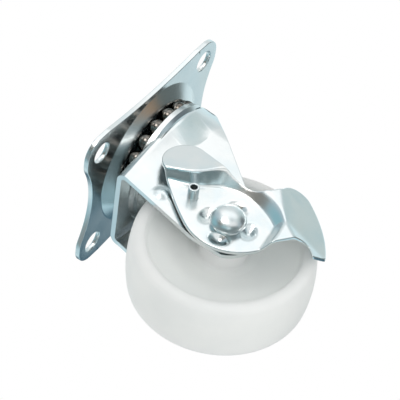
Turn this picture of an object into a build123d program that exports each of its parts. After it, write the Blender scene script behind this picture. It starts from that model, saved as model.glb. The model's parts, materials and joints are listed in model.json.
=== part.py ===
from build123d import *
import math
import os

# Swivel plate castor with a side lever brake.
# Frame: origin on the swivel axis in the top face of the plate, +Z up towards what it is bolted to.
# The wheel trails towards -X, its axle lies along Y, and the brake is on the -Y side.
# All sizes are in millimetres.

# Wheel and overall places
WHEEL_R = 25.0
WHEEL_W = 21.0
TRAIL = 20.0
AXLE_DROP = 40.0
AXLE_X = -TRAIL
AXLE_Z = -AXLE_DROP

# Top plate
PLATE_T = 1.4
HOLE_PITCH_X = 46.0
HOLE_PITCH_Y = 35.0
HOLE_R = 3.1
EAR_R = 6.0
EAR_CORNER_R = 5.6
EAR_BLEND_R = 7.0
SIDE_WAIST_X = 25.4
SIDE_WAIST_Y = 22.4
BOSS_FOOT_R = 21.2
BOSS_LIP_R = 17.4
BOSS_DROP = 2.1

# Upper ball race
BALL_R = 2.381
RACE_R = 15.3
RACE_FIT = 0.03
GROOVE_DEPTH = 0.42
CROWN_GAP = 3.1

# Lower ball race
LOW_BALL_R = 1.984
LOW_RACE_R = 8.4
LOW_GROOVE_DEPTH = 0.35
BALL_SPACE = 0.18

# Kingpin
PIN_R = 4.0
PIN_FIT = 0.03
PIN_HEAD_R = 7.0
PIN_HEAD_SINK = 0.3
PIN_HEAD_BEVEL_R = 1.0
PIN_HEAD_BEVEL_H = 0.8
PIN_FOOT_R = 5.6
PIN_FOOT_H = 1.5
PIN_FOOT_BEVEL_R = 1.4
CROWN_HOLE_GAP = 0.8

# Lower race cup
CUP_T = 1.3
CUP_R = 11.2
CUP_LIP_H = 1.1
CUP_RIM_H = 0.3

# Fork
FORK_T = 1.4
CROWN_LAND = 0.52
LEG_GAP = 1.6
HOOD_REAR_X = -22.6
HOOD_DEPTH = 11.0
HOOD_FRONT_OUT = 0.8
HOOD_EDGE_R = 2.6
CUP_WALL_RUN = 0.9
BELLY_T = 1.1
LEG_END_R = 9.0
LEG_FRONT_X = 13.2
LEG_FRONT_Z = -13.6
SKIRT_H = 5.6
SLIT_W = 1.0
BUMP_R = 2.4
BUMP_H = 0.75
BUMP_AT_R = 20.2
BUMP_AT_DEG = 93.0

# Wheel section
TREAD_CROWN = 1.3
TREAD_EDGE_R = 2.0
RIM_T = 2.8
RECESS_LIP_IN = 1.5
RECESS_FOOT_R = 9.6
RECESS_DEPTH = 5.0
RECESS_WALL = 1.6
RECESS_WALL_RUN = 0.6
MOULD_R = 0.8
HUB_R = 7.6
HUB_TAPER = 0.5
HUB_GAP = 0.4
BUSH_FIT = 0.06

# Axle
AXLE_R = 3.0
AXLE_FIT = 0.03
BUSH_T = 1.4
HEAD_R = 4.9
HEAD_H = 3.0
TAIL_R = 4.6
TAIL_H = 1.9

# Brake lever
LEVER_T = 1.2
LEVER_GAP = 1.0
PAD_RISE = 3.8
PAD_LINE_DEG = 30.0
PAD_LINE_N = 12.6
PAD_WALL_LEAN = 30.0
PAD_TILT_DIR_DEG = 55.0
PAD_TILT_N = 14.0
PAD_TILT_DEG = 8.0
WAIST_LINE_DEG = -8.0
WAIST_LINE_N = 11.2
PEDAL_LINE_DEG = -50.6
PEDAL_LINE_N = 10.6
RIDGE_RISE = 2.5
RIDGE_N = 14.2
PEDAL_FOLD_DEG = 35.0
PEDAL_WALL_LEAN = 52.0
DIMPLE_R = 1.9
DIMPLE_H = 0.85
DIMPLE_WALL = 0.65
DIMPLE_AT_R = 5.6
DIMPLE_DEG = 12.0
LEVER_FIT = 0.05
STOP_PIN_R = 1.3
STOP_PIN_BORE_R = 0.7
STOP_PIN_L = 4.9
STOP_PIN_X = 1.6
STOP_PIN_Z = 12.4

# Lever outline round the axle, (along X, along Z)
PAD_REAR = (2.5, 21.4)
PAD_CREST = (7.4, 26.1)
PAD_FRONT = (15.1, 19.6)
WAIST_POINTS = [(13.7, 13.4), (12.5, 6.5), (13.0, -0.6)]
PEDAL_TOP = (17.6, -5.0)
PEDAL_CREST = (21.9, -6.6)
PEDAL_FRONT = (23.1, -10.4)
PEDAL_SIDE = (19.5, -16.6)
TAB_TIP = (10.4, -24.3)
TAB_POINTS = [(5.4, -22.8), (7.6, -20.2), (7.4, -18.2), (4.6, -16.3)]
DISC_LOW = (-3.2, -10.7)
DISC_REAR = (-9.2, -1.0)
DISC_TOP = (-7.2, 8.6)
DISC_SHOULDER = (-3.2, 14.5)

# Working sizes: larger than any piece, and closer than any two edges
BLOCK = 120.0
TOUCH = 0.01

# Places worked out from the sizes
CROWN_RIM_R = RACE_R + BALL_R
CROWN_R = CROWN_RIM_R + CROWN_LAND
TREAD_EDGE_AT_R = WHEEL_R - TREAD_CROWN
RECESS_R = TREAD_EDGE_AT_R - RIM_T
BOSS_FACE_Z = -PLATE_T - BOSS_DROP
BALL_Z = BOSS_FACE_Z + GROOVE_DEPTH - RACE_FIT - BALL_R
CROWN_Z = BOSS_FACE_Z - CROWN_GAP
CUP_FLOOR_TOP_Z = BALL_Z - BALL_R - RACE_FIT + GROOVE_DEPTH
CUP_FLOOR_BASE_Z = CUP_FLOOR_TOP_Z - FORK_T
LOW_BALL_Z = CUP_FLOOR_BASE_Z + LOW_GROOVE_DEPTH - RACE_FIT - LOW_BALL_R
LOW_CUP_TOP_Z = LOW_BALL_Z - LOW_BALL_R - RACE_FIT + LOW_GROOVE_DEPTH
LOW_CUP_BASE_Z = LOW_CUP_TOP_Z - CUP_T
LEG_IN_Y = WHEEL_W / 2 + LEG_GAP
LEG_OUT_Y = LEG_IN_Y + FORK_T
HOOD_FOOT_Z = CROWN_Z - HOOD_DEPTH
LEVER_IN_Y = LEG_OUT_Y + LEVER_GAP
LEVER_OUT_Y = LEVER_IN_Y + LEVER_T
UPPER_BALLS = int(2 * math.pi * RACE_R / (2 * BALL_R + BALL_SPACE))
LOWER_BALLS = int(2 * math.pi * LOW_RACE_R / (2 * LOW_BALL_R + BALL_SPACE))


def ring_solid(points):
    """Solid of revolution about the swivel axis from (radius, height) points."""
    return revolve(make_face(Plane.XZ * Polyline(points, close=True)), Axis.Z)


def groove(race_r, ball_z, ball_r, extra=0.0):
    """Torus on a race circle, as wide as the balls that run there plus a margin."""
    return Pos(0, 0, ball_z) * Torus(race_r, ball_r + RACE_FIT + extra)


def top_plate():
    ear_x = HOLE_PITCH_X / 2 + EAR_R
    ear_y = HOLE_PITCH_Y / 2 + EAR_R
    outline = Rectangle(2 * ear_x, 2 * ear_y)
    waists = (
        (ear_x, SIDE_WAIST_X, HOLE_PITCH_Y / 2 - EAR_R / 2, 0),
        (ear_y, SIDE_WAIST_Y, HOLE_PITCH_X / 2 - EAR_R / 2, 90),
    )
    for reach, waist, half_chord, turn in waists:
        inset = reach - waist
        scoop_r = (half_chord**2 + inset**2) / (2 * inset)
        for side in (0, 180):
            outline -= Rot(0, 0, turn + side) * Pos(waist + scoop_r, 0) * Circle(scoop_r)
    corners = [v for v in outline.vertices() if abs(v.X) > ear_x - TOUCH and abs(v.Y) > ear_y - TOUCH]
    outline = fillet(corners, EAR_CORNER_R)
    shoulders = [v for v in outline.vertices() if scoop_end(v, ear_x, ear_y)]
    outline = fillet(shoulders, EAR_BLEND_R)
    plate = Pos(0, 0, -PLATE_T) * extrude(outline, PLATE_T)
    slope = (BOSS_FOOT_R - BOSS_LIP_R) / BOSS_DROP
    shift = PLATE_T * (math.hypot(1, slope) - 1) / slope
    dish = [
        (0, 0.0),
        (BOSS_FOOT_R + shift, 0.0),
        (BOSS_LIP_R + shift, -BOSS_DROP),
        (0, -BOSS_DROP),
    ]
    boss = [
        (0, -PLATE_T / 2),
        (BOSS_FOOT_R, -PLATE_T / 2),
        (BOSS_FOOT_R, -PLATE_T),
        (BOSS_LIP_R, BOSS_FACE_Z),
        (0, BOSS_FACE_Z),
    ]
    plate = plate + ring_solid(boss) - ring_solid(dish)
    plate += groove(RACE_R, BALL_Z, BALL_R, PLATE_T) & ring_solid(
        [(0, -BOSS_DROP), (BOSS_LIP_R, -BOSS_DROP), (BOSS_LIP_R, 0), (0, 0)]
    )
    plate -= groove(RACE_R, BALL_Z, BALL_R)
    plate -= Cylinder(PIN_R + PIN_FIT, AXLE_DROP)
    for x in (-HOLE_PITCH_X / 2, HOLE_PITCH_X / 2):
        for y in (-HOLE_PITCH_Y / 2, HOLE_PITCH_Y / 2):
            plate -= Pos(x, y, 0) * Cylinder(HOLE_R, AXLE_DROP)
    return plate


def scoop_end(vertex, ear_x, ear_y):
    """True at the plate outline's points where a waist meets an ear."""
    on_x_side = abs(abs(vertex.X) - ear_x) < TOUCH and abs(vertex.Y) < HOLE_PITCH_Y / 2 - EAR_R / 2 + TOUCH
    on_y_side = abs(abs(vertex.Y) - ear_y) < TOUCH and abs(vertex.X) < HOLE_PITCH_X / 2 - EAR_R / 2 + TOUCH
    return on_x_side or on_y_side


def kingpin():
    head_top = -PIN_HEAD_SINK
    head_base = -BOSS_DROP
    foot_base = LOW_CUP_BASE_Z - PIN_FOOT_H
    profile = [
        (0, head_top),
        (PIN_HEAD_R - PIN_HEAD_BEVEL_R, head_top),
        (PIN_HEAD_R, head_top - PIN_HEAD_BEVEL_H),
        (PIN_HEAD_R, head_base),
        (PIN_R, head_base),
        (PIN_R, LOW_CUP_BASE_Z),
        (PIN_FOOT_R, LOW_CUP_BASE_Z),
        (PIN_FOOT_R, LOW_CUP_BASE_Z - PIN_FOOT_H / 2),
        (PIN_FOOT_R - PIN_FOOT_BEVEL_R, foot_base),
        (0, foot_base),
    ]
    return ring_solid(profile)


def lower_race_cup():
    lip_top = LOW_CUP_TOP_Z + CUP_LIP_H
    profile = [
        (PIN_R + PIN_FIT, LOW_CUP_TOP_Z),
        (CUP_R - CUP_T - CUP_LIP_H, LOW_CUP_TOP_Z),
        (CUP_R - CUP_T, lip_top),
        (CUP_R, lip_top),
        (CUP_R, lip_top - CUP_RIM_H),
        (CUP_R - CUP_LIP_H, LOW_CUP_BASE_Z),
        (PIN_R + PIN_FIT, LOW_CUP_BASE_Z),
    ]
    return ring_solid(profile) - groove(LOW_RACE_R, LOW_BALL_Z, LOW_BALL_R)


def ball_ring(name, count, race_r, ball_z, ball_r):
    """Balls evenly spaced on a race, one node each."""
    for i in range(count):
        angle = 2 * math.pi * (i + 0.5) / count
        ball = Pos(race_r * math.cos(angle), race_r * math.sin(angle), ball_z) * Sphere(ball_r)
        save(ball, f"{name}_{i + 1:02d}")


def crown_outline(inset, rear_x):
    """Plan of the fork crown: a round front whose tangents run back to the rear corners."""
    r = CROWN_R - inset
    corner_x = HOOD_REAR_X
    corner_y = LEG_OUT_Y - inset
    dist = math.hypot(corner_x, corner_y)
    turn = math.atan2(corner_y, corner_x) - math.acos(r / dist)
    touch = (r * math.cos(turn), r * math.sin(turn))
    path = (
        Line((rear_x, -corner_y), (corner_x, -corner_y))
        + Line((corner_x, -corner_y), (touch[0], -touch[1]))
        + ThreePointArc((touch[0], -touch[1]), (r, 0), touch)
        + Line(touch, (corner_x, corner_y))
        + Line((corner_x, corner_y), (rear_x, corner_y))
        + Line((rear_x, corner_y), (rear_x, -corner_y))
    )
    return make_face(path)


def leg_outline(inset, rear_x):
    """Plan of the hood where it has narrowed to the two flat legs and a round front."""
    y = LEG_OUT_Y - inset
    bow_x = CROWN_R + HOOD_FRONT_OUT - LEG_OUT_Y
    path = (
        Line((rear_x, -y), (HOOD_REAR_X, -y))
        + Line((HOOD_REAR_X, -y), (bow_x, -y))
        + ThreePointArc((bow_x, -y), (bow_x + y, 0), (bow_x, y))
        + Line((bow_x, y), (HOOD_REAR_X, y))
        + Line((HOOD_REAR_X, y), (rear_x, y))
        + Line((rear_x, y), (rear_x, -y))
    )
    return make_face(path)


def hood(inset, rear_x):
    """Solid block of the fork's outside, or of its inside when the sheet is taken off."""
    top_z = CROWN_Z - inset
    top = Pos(0, 0, top_z) * crown_outline(inset, rear_x)
    foot = Pos(0, 0, HOOD_FOOT_Z) * leg_outline(inset, rear_x)
    block = loft([top, foot], ruled=True)
    edges = [e for e in block.edges() if abs(e.center().Z - top_z) < TOUCH and e.center().X > rear_x + TOUCH]
    block = fillet(edges, HOOD_EDGE_R - inset)
    low = AXLE_Z - 2 * LEG_END_R
    return block + extrude(foot, HOOD_FOOT_Z - low, dir=(0, 0, -1))


def tangent_point(x, z, side):
    """Point where a line from a corner of the leg touches its round end."""
    dx = x - AXLE_X
    dz = z - AXLE_Z
    turn = math.atan2(dz, dx) + side * math.acos(LEG_END_R / math.hypot(dx, dz))
    return (AXLE_X + LEG_END_R * math.cos(turn), AXLE_Z + LEG_END_R * math.sin(turn))


def leg_side_view():
    """Side view of the fork: the crown and its front skirt above, the tapered leg below."""
    skirt_z = CROWN_Z - SKIRT_H
    rear_z = CROWN_Z - HOOD_EDGE_R
    front = tangent_point(LEG_FRONT_X, LEG_FRONT_Z, -1)
    rear = tangent_point(HOOD_REAR_X, rear_z, 1)
    path = (
        Line(rear, (HOOD_REAR_X, rear_z))
        + Line((HOOD_REAR_X, rear_z), (HOOD_REAR_X, 0))
        + Line((HOOD_REAR_X, 0), (CROWN_R * 2, 0))
        + Line((CROWN_R * 2, 0), (CROWN_R * 2, skirt_z))
        + Line((CROWN_R * 2, skirt_z), (LEG_FRONT_X, skirt_z))
        + Line((LEG_FRONT_X, skirt_z), (LEG_FRONT_X, LEG_FRONT_Z))
        + Line((LEG_FRONT_X, LEG_FRONT_Z), front)
        + ThreePointArc(front, (AXLE_X, AXLE_Z - LEG_END_R), rear)
    )
    return make_face(path)


def fork():
    rear_x = HOOD_REAR_X - 4 * FORK_T
    shell = hood(0, rear_x) - hood(FORK_T, rear_x - FORK_T)
    shell = shell & extrude(Plane.XZ * leg_side_view(), 2 * CROWN_R, both=True)
    shell -= Pos(0, 0, CROWN_Z) * Cylinder(CROWN_RIM_R, 4 * FORK_T)
    cup = ring_solid(
        [
            (PIN_R + CROWN_HOLE_GAP, CUP_FLOOR_TOP_Z),
            (CROWN_RIM_R - CUP_WALL_RUN, CUP_FLOOR_TOP_Z),
            (CROWN_RIM_R, CROWN_Z),
            (CROWN_RIM_R, CROWN_Z - FORK_T),
            (CROWN_RIM_R - CUP_WALL_RUN, CUP_FLOOR_BASE_Z),
            (PIN_R + CROWN_HOLE_GAP, CUP_FLOOR_BASE_Z),
        ]
    )
    belly = groove(RACE_R, BALL_Z, BALL_R, BELLY_T)
    belly &= Pos(0, 0, CUP_FLOOR_BASE_Z - FORK_T) * Cylinder(CROWN_RIM_R, 2 * FORK_T)
    body = shell + cup + belly
    body -= groove(RACE_R, BALL_Z, BALL_R)
    body -= groove(LOW_RACE_R, LOW_BALL_Z, LOW_BALL_R)
    slit_top = CROWN_Z - HOOD_EDGE_R
    slit_h = SKIRT_H * 2
    for side in (-1, 1):
        slit = Pos(LEG_FRONT_X + SLIT_W / 2, side * LEG_IN_Y, slit_top - slit_h / 2) * Box(SLIT_W, LEG_IN_Y, slit_h)
        body -= slit
    body -= Pos(AXLE_X, 0, AXLE_Z) * Rot(90, 0, 0) * Cylinder(AXLE_R + AXLE_FIT, 2 * CROWN_R)
    turn = math.radians(BUMP_AT_DEG)
    ball_r = (BUMP_R**2 + BUMP_H**2) / (2 * BUMP_H)
    bump_x = AXLE_X + BUMP_AT_R * math.cos(turn)
    bump_z = AXLE_Z + BUMP_AT_R * math.sin(turn)
    bump_y = -(LEG_OUT_Y + BUMP_H - ball_r)
    body += Pos(bump_x, bump_y, bump_z) * Sphere(ball_r) & Pos(bump_x, -LEG_OUT_Y, bump_z) * Box(
        2 * BUMP_R, FORK_T, 2 * BUMP_R
    )
    body -= Pos(bump_x, bump_y, bump_z) * Sphere(ball_r - FORK_T) & Pos(bump_x, -LEG_IN_Y, bump_z) * Box(
        2 * BUMP_R, 2 * FORK_T, 2 * BUMP_R
    )
    return body


def axle_solid(points):
    """Solid of revolution about the axle from (place along Y, radius) points."""
    path = Polyline([(y, AXLE_Z + r) for y, r in points], close=True)
    face = make_face(Plane((AXLE_X, 0, 0), x_dir=(0, 1, 0), z_dir=(1, 0, 0)) * path)
    return revolve(face, Axis((AXLE_X, 0, AXLE_Z), (0, 1, 0)))


def wheel():
    half = WHEEL_W / 2
    lip_y = half - RECESS_LIP_IN
    web_y = half - RECESS_DEPTH
    hub_y = LEG_IN_Y - HUB_GAP
    bore_r = AXLE_R + AXLE_FIT + BUSH_T + BUSH_FIT
    right = [
        (half, TREAD_EDGE_AT_R),
        (lip_y, RECESS_R),
        (lip_y - RECESS_WALL, RECESS_R - RECESS_WALL_RUN),
        (web_y, RECESS_FOOT_R),
        (web_y, HUB_R),
        (hub_y, HUB_R - HUB_TAPER),
        (hub_y, bore_r),
    ]
    left = [(-y, r) for y, r in reversed(right)]
    path = Polyline([(y, AXLE_Z + r) for y, r in right + left]) + ThreePointArc(
        (-half, AXLE_Z + TREAD_EDGE_AT_R), (0, AXLE_Z + WHEEL_R), (half, AXLE_Z + TREAD_EDGE_AT_R)
    )
    face = Plane((AXLE_X, 0, 0), x_dir=(0, 1, 0), z_dir=(1, 0, 0)) * make_face(path)
    body = revolve(face, Axis((AXLE_X, 0, AXLE_Z), (0, 1, 0)))
    body = fillet(hoops(body, ((half, TREAD_EDGE_AT_R),)), TREAD_EDGE_R)
    return fillet(hoops(body, ((lip_y, RECESS_R), (web_y, RECESS_FOOT_R), (web_y, HUB_R))), MOULD_R)


def hoops(body, places):
    """Circular edges of the wheel at given places along the axle and radii, on either side."""
    found = []
    for edge in body.edges():
        at = edge.position_at(0)
        r = math.hypot(at.X - AXLE_X, at.Z - AXLE_Z)
        if any(math.hypot(abs(at.Y) - y, r - r0) < TOUCH for y, r0 in places):
            found.append(edge)
    return [e for e in found if e.geom_type == GeomType.CIRCLE and e.length > 4 * HUB_R]


def axle_bush():
    bore = AXLE_R + AXLE_FIT
    return axle_solid(
        [(-LEG_IN_Y, bore), (-LEG_IN_Y, bore + BUSH_T), (LEG_IN_Y, bore + BUSH_T), (LEG_IN_Y, bore)]
    )


def axle_rivet():
    head_y = -(LEVER_OUT_Y + LEVER_FIT)
    tail_y = LEG_OUT_Y
    dome_r = (HEAD_R**2 + HEAD_H**2) / (2 * HEAD_H)
    mid = math.asin(HEAD_R / dome_r) / 2
    dome_y = head_y - HEAD_H + dome_r
    dome_mid = (dome_y - dome_r * math.cos(mid), AXLE_Z + dome_r * math.sin(mid))
    path = (
        ThreePointArc((head_y - HEAD_H, AXLE_Z), dome_mid, (head_y, AXLE_Z + HEAD_R))
        + Line((head_y, AXLE_Z + HEAD_R), (head_y, AXLE_Z + AXLE_R))
        + Line((head_y, AXLE_Z + AXLE_R), (tail_y, AXLE_Z + AXLE_R))
        + Line((tail_y, AXLE_Z + AXLE_R), (tail_y, AXLE_Z + TAIL_R))
        + Line((tail_y, AXLE_Z + TAIL_R), (tail_y + TAIL_H / 2, AXLE_Z + TAIL_R))
        + Line((tail_y + TAIL_H / 2, AXLE_Z + TAIL_R), (tail_y + TAIL_H, AXLE_Z + TAIL_R / 2))
        + Line((tail_y + TAIL_H, AXLE_Z + TAIL_R / 2), (tail_y + TAIL_H, AXLE_Z))
        + Line((tail_y + TAIL_H, AXLE_Z), (head_y - HEAD_H, AXLE_Z))
    )
    face = Plane((AXLE_X, 0, 0), x_dir=(0, 1, 0), z_dir=(1, 0, 0)) * make_face(path)
    return revolve(face, Axis((AXLE_X, 0, AXLE_Z), (0, 1, 0)))


def on_brake_side(solid):
    """Moves a piece drawn round the axle, with its height outwards, to the brake side."""
    return Plane((AXLE_X, 0, AXLE_Z), x_dir=(1, 0, 0), z_dir=(0, -1, 0)).location * solid


def lever_outline():
    """Side view of the lever round the axle: pad above, disc in the middle, pedal below."""
    top = (
        ThreePointArc(PAD_REAR, PAD_CREST, PAD_FRONT)
        + Spline([PAD_FRONT] + WAIST_POINTS + [PEDAL_TOP])
        + ThreePointArc(PEDAL_TOP, PEDAL_CREST, PEDAL_FRONT)
        + ThreePointArc(PEDAL_FRONT, PEDAL_SIDE, TAB_TIP)
    )
    low = (
        Polyline([TAB_TIP] + TAB_POINTS + [DISC_LOW])
        + ThreePointArc(DISC_LOW, DISC_REAR, DISC_TOP)
        + ThreePointArc(DISC_TOP, DISC_SHOULDER, PAD_REAR)
    )
    return make_face(top + low)


def slope_block(direction, place, lean, height):
    """Everything beyond a wall that leans outwards from a line round the axle."""
    block = Pos(BLOCK / 2, 0, 0) * Box(BLOCK, BLOCK, BLOCK)
    return Rot(0, 0, direction) * Pos(place, 0, height) * Rot(0, lean, 0) * block


def lever_die(height):
    """Block whose top is the lever's outer face: a flat pit for the disc, a pad and a folded pedal."""
    top = height + PAD_RISE
    die = Pos(0, 0, top - BLOCK / 2) * Box(BLOCK, BLOCK, BLOCK)
    pit = Pos(0, 0, height + BLOCK / 2) * Box(BLOCK, BLOCK, BLOCK)
    walls = (
        (PAD_LINE_DEG, PAD_LINE_N, PAD_WALL_LEAN),
        (WAIST_LINE_DEG, WAIST_LINE_N, PEDAL_WALL_LEAN),
        (PEDAL_LINE_DEG, PEDAL_LINE_N, PEDAL_WALL_LEAN),
    )
    for direction, place, lean in walls:
        pit -= slope_block(direction, place, lean, height)
    die -= pit
    fold = Rot(0, 0, PEDAL_LINE_DEG) * Pos(RIDGE_N, 0, height + RIDGE_RISE) * Rot(0, PEDAL_FOLD_DEG, 0)
    die -= fold * Pos(0, 0, BLOCK) * Box(2 * BLOCK, 2 * BLOCK, 2 * BLOCK)
    tilt = Rot(0, 0, PAD_TILT_DIR_DEG) * Pos(PAD_TILT_N, 0, top) * Rot(0, PAD_TILT_DEG, 0)
    die -= tilt * Pos(0, 0, BLOCK) * Box(2 * BLOCK, 2 * BLOCK, 2 * BLOCK)
    return die


def brake_lever():
    sheet = lever_die(LEVER_OUT_Y) - lever_die(LEVER_IN_Y)
    lever = sheet & extrude(lever_outline(), LEVER_OUT_Y + PAD_RISE)
    ball_r = (DIMPLE_R**2 + DIMPLE_H**2) / (2 * DIMPLE_H) + DIMPLE_WALL / 2
    for i in range(4):
        turn = math.radians(DIMPLE_DEG + 90 * i)
        x = DIMPLE_AT_R * math.cos(turn)
        y = DIMPLE_AT_R * math.sin(turn)
        place = Pos(x, y, LEVER_IN_Y - DIMPLE_H + ball_r)
        bump = place * Sphere(ball_r) & Pos(x, y, LEVER_IN_Y) * Box(4 * DIMPLE_R, 4 * DIMPLE_R, LEVER_T)
        lever = lever + bump - place * Sphere(ball_r - DIMPLE_WALL)
    lever -= Pos(0, 0, LEVER_OUT_Y) * Cylinder(AXLE_R + LEVER_FIT, 4 * LEVER_T)
    lever -= Pos(STOP_PIN_X, STOP_PIN_Z, LEVER_OUT_Y) * Cylinder(STOP_PIN_R + PIN_FIT, 4 * LEVER_T)
    return on_brake_side(lever)


def lever_pin():
    tube = Cylinder(STOP_PIN_R, STOP_PIN_L) - Cylinder(STOP_PIN_BORE_R, STOP_PIN_L)
    return on_brake_side(Pos(STOP_PIN_X, STOP_PIN_Z, LEVER_IN_Y + STOP_PIN_L / 2) * tube)


def save(solid, name):
    export_step(solid, f"parts/{name}.step")


os.makedirs("parts", exist_ok=True)
save(top_plate(), "top_plate")
save(kingpin(), "kingpin")
save(lower_race_cup(), "lower_race_cup")
ball_ring("upper_ball", UPPER_BALLS, RACE_R, BALL_Z, BALL_R)
ball_ring("lower_ball", LOWER_BALLS, LOW_RACE_R, LOW_BALL_Z, LOW_BALL_R)
save(fork(), "fork")
save(wheel(), "wheel")
save(axle_bush(), "axle_bush")
save(axle_rivet(), "axle_rivet")
save(brake_lever(), "brake_lever")
save(lever_pin(), "lever_pin")
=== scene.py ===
"""Swivel plate castor with a side brake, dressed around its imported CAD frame."""

from __future__ import annotations

import json
import logging
import math
from collections.abc import Iterable, Mapping, Sequence
from dataclasses import dataclass
from enum import Enum
from typing import Any

import bmesh
import bpy
import numpy as np
from mathutils import Matrix, Vector
from mathutils.geometry import delaunay_2d_cdt

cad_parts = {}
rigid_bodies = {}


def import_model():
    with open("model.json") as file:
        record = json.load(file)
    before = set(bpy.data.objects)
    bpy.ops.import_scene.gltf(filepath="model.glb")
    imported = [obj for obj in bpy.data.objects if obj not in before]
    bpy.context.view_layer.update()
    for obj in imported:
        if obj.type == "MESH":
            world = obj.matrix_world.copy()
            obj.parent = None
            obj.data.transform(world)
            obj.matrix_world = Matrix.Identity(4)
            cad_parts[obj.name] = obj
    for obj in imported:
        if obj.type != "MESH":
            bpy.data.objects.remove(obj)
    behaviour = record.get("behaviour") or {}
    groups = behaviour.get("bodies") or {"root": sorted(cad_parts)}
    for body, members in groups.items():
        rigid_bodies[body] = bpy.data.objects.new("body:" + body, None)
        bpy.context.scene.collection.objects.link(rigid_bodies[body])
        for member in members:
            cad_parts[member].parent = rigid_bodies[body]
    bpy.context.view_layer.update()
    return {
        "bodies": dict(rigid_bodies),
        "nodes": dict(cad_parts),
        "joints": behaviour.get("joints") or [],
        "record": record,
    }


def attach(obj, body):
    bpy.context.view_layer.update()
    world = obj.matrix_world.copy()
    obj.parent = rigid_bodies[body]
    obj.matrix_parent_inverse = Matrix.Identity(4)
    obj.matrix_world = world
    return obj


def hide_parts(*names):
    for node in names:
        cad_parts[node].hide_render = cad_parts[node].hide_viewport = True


logging.basicConfig(level=logging.INFO, format="%(message)s")
LOG = logging.getLogger("castor")

MM = 0.001
PHOTO_PIXELS = 400

# The axle and the floor in the row frame, and the lever's pin seen from the axle, in millimetres
AXLE_X = -20.0
AXLE_Z = -40.0
FLOOR_Z = -65.0
PIN_AT_MM = (1.6, 12.4)

Point2 = tuple[float, float]
Triple = tuple[float, float, float]
Colour = Triple


class Body(Enum):
    """The CAD bodies that pieces ride on."""

    BASE = "base"
    FORK = "swivel_fork"
    WHEEL = "road_wheel"
    LEVER = "lever"
    UPPER_BALLS = "upper_balls"
    LOWER_BALLS = "lower_balls"


class Slot(Enum):
    """The record's material slots."""

    PLATE = "zinc_plate"
    FORK = "zinc_fork"
    LEVER = "zinc_lever"
    RIVET = "zinc_rivet"
    BALL = "ball_steel"
    WHEEL = "wheel_plastic"


class Sock:
    """A shader socket that takes part in Python expressions."""

    def __init__(self, graph: Graph, socket: bpy.types.NodeSocket) -> None:
        """Keeps the socket and the graph that it belongs to."""
        self.graph = graph
        self.socket = socket

    def _math(self, operation: str, *values: Sock | float) -> Sock:
        """One Math node on numbers."""
        return self.graph.node("ShaderNodeMath", {"operation": operation}, dict(enumerate(values)))

    def __add__(self, other: Sock | float) -> Sock:
        """Sum of two values."""
        return self._math("ADD", self, other)

    def __sub__(self, other: Sock | float) -> Sock:
        """Difference of two values."""
        return self._math("SUBTRACT", self, other)

    def __mul__(self, other: Sock | float) -> Sock:
        """Product of two values."""
        return self._math("MULTIPLY", self, other)

    def __rsub__(self, other: float) -> Sock:
        """A number less this value."""
        return self._math("SUBTRACT", other, self)

    __radd__ = __add__
    __rmul__ = __mul__

    def between(self, low: float, high: float) -> Sock:
        """Smooth step of this value from 0 at low to 1 at high.

        Args:
            low: value that gives 0.
            high: value that gives 1.

        Returns:
            The stepped value.
        """
        settings = {"interpolation_type": "SMOOTHSTEP", "clamp": True}
        values = {"Value": self, "From Min": low, "From Max": high}
        return self.graph.node("ShaderNodeMapRange", settings, values)


class Graph:
    """Node tree of a material, the world or a grown piece."""

    # Places of the colour sockets on a Mix node
    FIRST = 6
    SECOND = 7
    MIXED = 2

    def __init__(self, tree: bpy.types.NodeTree) -> None:
        """Empties the tree."""
        self.tree = tree
        tree.nodes.clear()

    def node(
        self,
        kind: str,
        settings: Mapping[str, Any] | None = None,
        values: Mapping[str | int, Any] | None = None,
        out: str | int = 0,
    ) -> Sock:
        """Adds one node.

        Args:
            kind: the node's type name.
            settings: attributes set before the sockets.
            values: numbers or links of the input sockets, by name or place.
            out: the output socket that is returned.

        Returns:
            The chosen output socket.
        """
        made = self.tree.nodes.new(kind)
        for name, value in (settings or {}).items():
            setattr(made, name, value)
        for name, value in (values or {}).items():
            if isinstance(value, Sock):
                self.tree.links.new(value.socket, made.inputs[name])
            else:
                made.inputs[name].default_value = value
        return Sock(self, made.outputs[out] if made.outputs else made.inputs[0])

    def mix(self, factor: Sock | float, first: Sock | Colour, second: Sock | Colour) -> Sock:
        """Mix of two colours.

        Args:
            factor: 0 gives the first and 1 the second.
            first: colour or link.
            second: colour or link.

        Returns:
            The mixed colour.
        """
        ends = [c if isinstance(c, Sock) else (*c, 1.0) for c in (first, second)]
        values = {0: factor, self.FIRST: ends[0], self.SECOND: ends[1]}
        return self.node("ShaderNodeMix", {"data_type": "RGBA"}, values, out=self.MIXED)

    def noise(self, size_mm: float, detail: float = 2.0, stretch: Triple = (1.0, 1.0, 1.0)) -> Sock:
        """Noise whose features have a given size on the object.

        Args:
            size_mm: rough size of one feature.
            detail: octaves of finer noise.
            stretch: scale along each axis, below 1 to draw the features out.

        Returns:
            A value from 0 to 1.
        """
        place = self.node("ShaderNodeTexCoord", out="Object")
        place = self.node("ShaderNodeMapping", {}, {"Vector": place, "Scale": stretch})
        values = {"Vector": place, "Scale": 1.0 / (size_mm * MM), "Detail": detail}
        return self.node("ShaderNodeTexNoise", {}, values)


@dataclass(frozen=True)
class Finish:
    """What every finish has: a name and a way to build its shader."""

    name: str

    def build(self) -> bpy.types.Material:
        """Makes the material.

        Returns:
            The new material.
        """
        material = bpy.data.materials.new(self.name)
        material.use_nodes = True
        graph = Graph(material.node_tree)
        shader = graph.node("ShaderNodeBsdfPrincipled", {}, self.skin(graph))
        graph.node("ShaderNodeOutputMaterial", {}, {"Surface": shader})
        return material

    def skin(self, graph: Graph) -> dict[str, Any]:
        """Values of the principled shader that covers the piece."""
        raise NotImplementedError


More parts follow.
